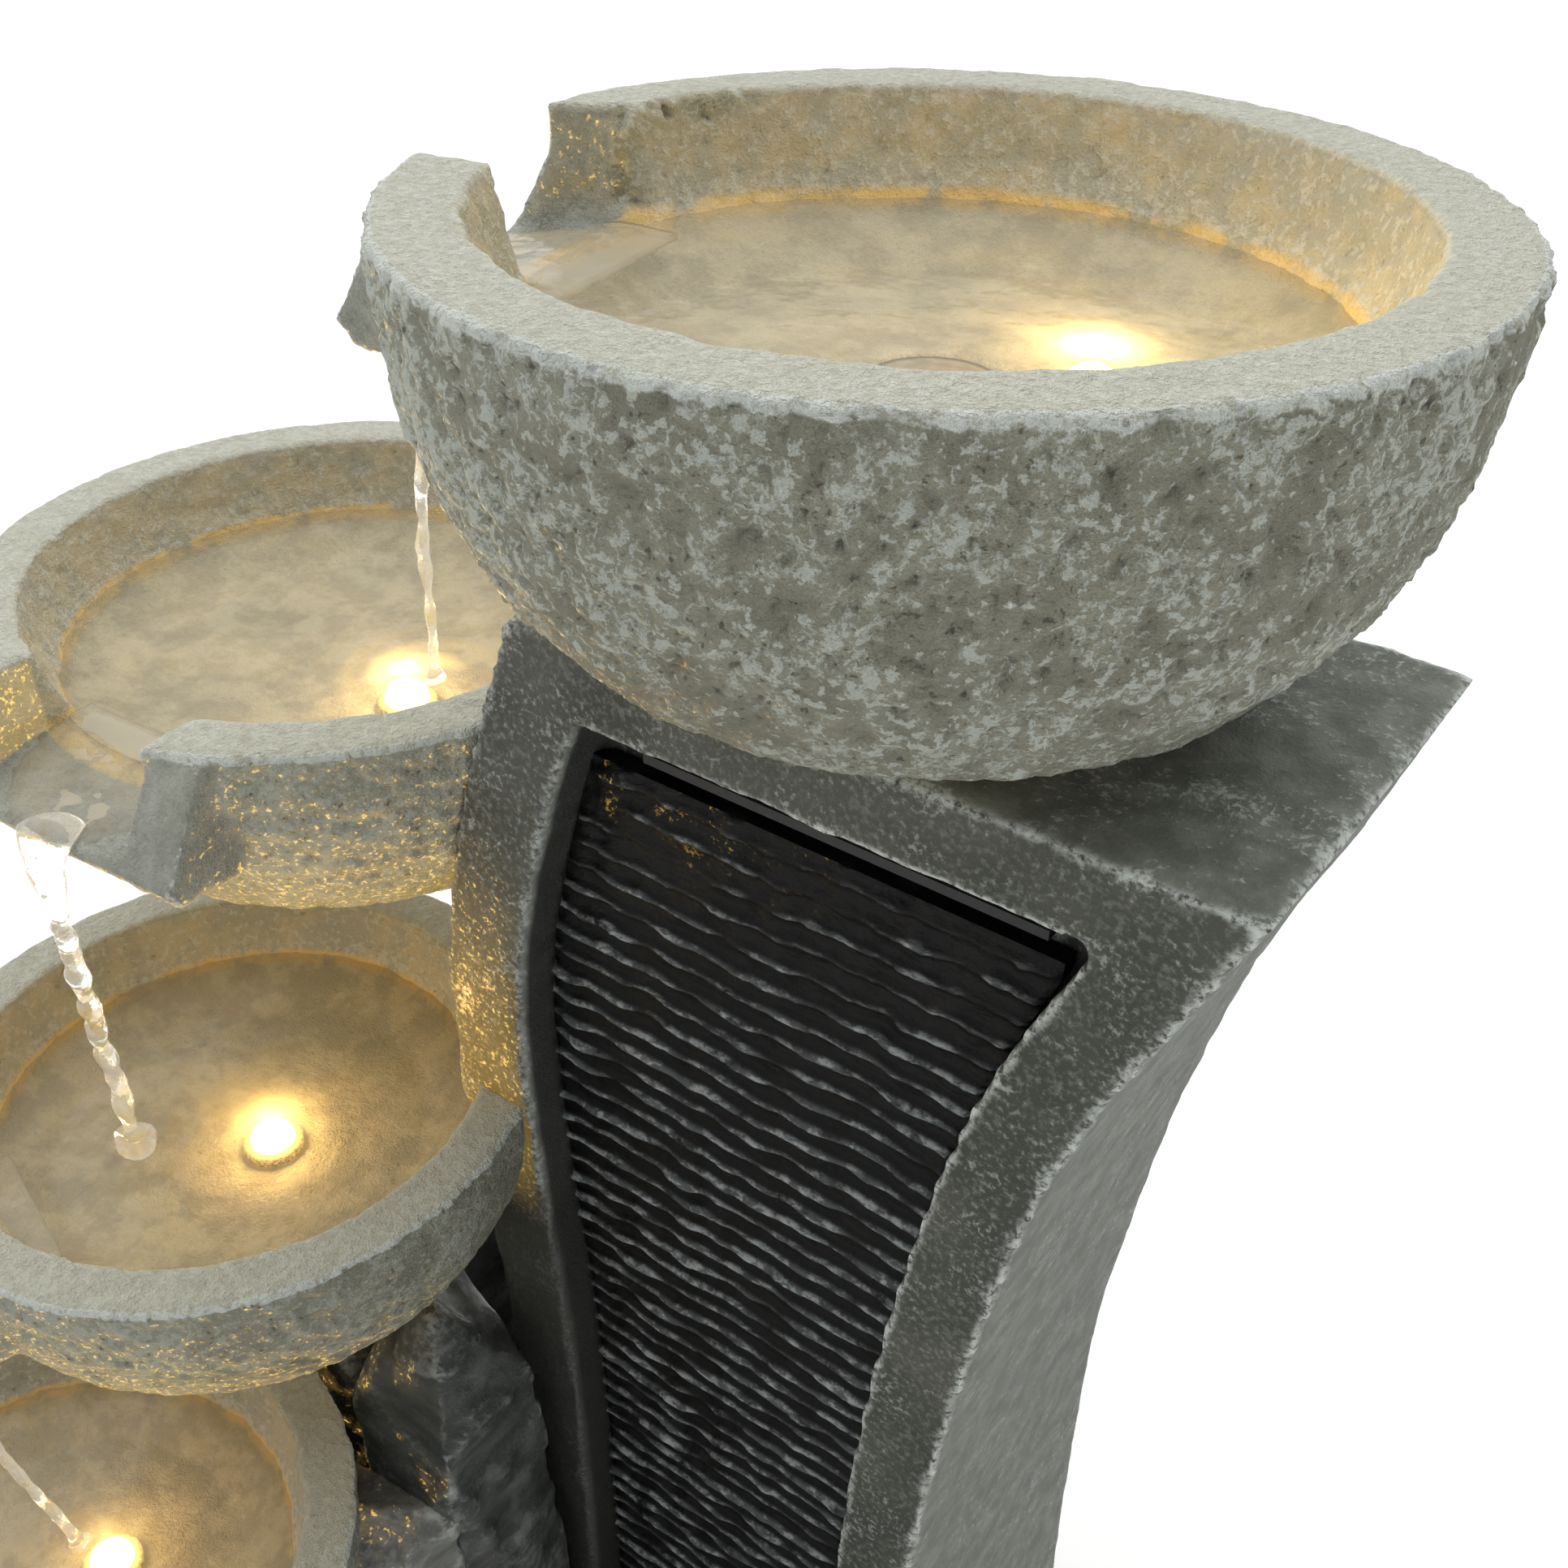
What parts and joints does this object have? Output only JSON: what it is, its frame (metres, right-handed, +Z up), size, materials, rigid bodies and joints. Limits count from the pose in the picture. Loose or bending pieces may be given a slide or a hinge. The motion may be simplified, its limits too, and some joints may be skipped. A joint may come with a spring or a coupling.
{
  "type": "tabletop water fountain",
  "caption": "Tabletop fountain with cast bowls spilling one into the next beside a ribbed cascade column, over a pond basin with a hidden pump and bowl lamps.",
  "frame": {"origin": "middle of the fountain's plan on the surface it stands on", "axes": "+Z up, -Y towards the front, where the cascade panel faces, +X to the right"},
  "size_m": [0.285, 0.2924, 0.45],
  "materials": {
    "cast_stone": "pitted cast stone, dry-brushed edges",
    "column_stone": "fine-grained cast stone, dry-brushed edges",
    "wet_slate": "wet ribbed slate, glossy",
    "rock_stone": "split rock, matt",
    "black_plastic": "moulded, satin",
    "grey_plastic": "moulded, satin",
    "clear_hose": "soft clear vinyl",
    "rubber": "matt",
    "lens": "clear dome over a warm lamp",
    "steel": "bright zinc",
    "magnet": "sintered ferrite",
    "ceramic": "polished ceramic"
  },
  "bodies": {
    "fountain": {"back_rock": "rock_stone", "bowl_bolt_1": "steel", "bowl_bolt_2": "steel", "cascade_panel": "wet_slate", "column_shell": "column_stone", "cord_gland": "black_plastic", "corner_rock": "rock_stone", "cradle_rock": "rock_stone", "fourth_bowl": "cast_stone", "hose_clamp_nozzle": "steel", "hose_clamp_pump": "steel", "hose_clamp_tee": "steel", "hose_tee": "black_plastic", "junction_box": "black_plastic", "lamp_body_fourth": "black_plastic", "lamp_body_second": "black_plastic", "lamp_body_third": "black_plastic", "lamp_body_top": "black_plastic", "lamp_lead_fourth": "black_plastic", "lamp_lead_second": "black_plastic", "lamp_lead_third": "black_plastic", "lamp_lead_top": "black_plastic", "lamp_lens_fourth": "lens", "lamp_lens_second": "lens", "lamp_lens_third": "lens", "lamp_lens_top": "lens", "ledge_rock": "rock_stone", "link_hose": "clear_hose", "nozzle_nut": "grey_plastic", "outlet_nozzle": "grey_plastic", "pillar_rock": "rock_stone", "plinth_rock": "rock_stone", "pond_basin": "cast_stone", "pond_rock": "rock_stone", "pump_body": "black_plastic", "pump_intake_cover": "black_plastic", "pump_shaft": "ceramic", "riser_hose": "clear_hose", "rubber_foot_1": "rubber", "rubber_foot_2": "rubber", "rubber_foot_3": "rubber", "rubber_foot_4": "rubber", "second_bowl": "cast_stone", "suction_foot_1": "rubber", "suction_foot_2": "rubber", "suction_foot_3": "rubber", "suction_foot_4": "rubber", "third_bowl": "cast_stone", "top_bowl": "cast_stone", "weir_hose": "clear_hose", "weir_trough": "black_plastic"},
    "rotor": {"pump_impeller": "grey_plastic", "rotor_magnet": "magnet"},
    "dial": {"flow_dial": "grey_plastic"},
    "cover": {"rear_cover": "column_stone", "cover_screw_1": "steel", "cover_screw_2": "steel", "cover_screw_3": "steel", "cover_screw_4": "steel"},
    "plug": {"drain_plug": "rubber"}
  },
  "joints": [
    {"name": "impeller_spin", "type": "hinge", "parent": "fountain", "child": "rotor", "pos_m": [0.046, 0.07125, 0.0387], "axis": [0, 1, 0], "continuous": true},
    {"name": "flow_dial_turn", "type": "hinge", "parent": "fountain", "child": "dial", "pos_m": [0.06, 0.05925, 0.0547], "axis": [0, 1, 0], "range_deg": [0, 90]},
    {"name": "rear_cover_pull", "type": "slide", "parent": "fountain", "child": "cover", "axis": [0, 1, 0], "range_m": [0, 0.08]},
    {"name": "drain_plug_pull", "type": "slide", "parent": "fountain", "child": "plug", "axis": [0, 1, 0], "range_m": [0, 0.03]}
  ]
}
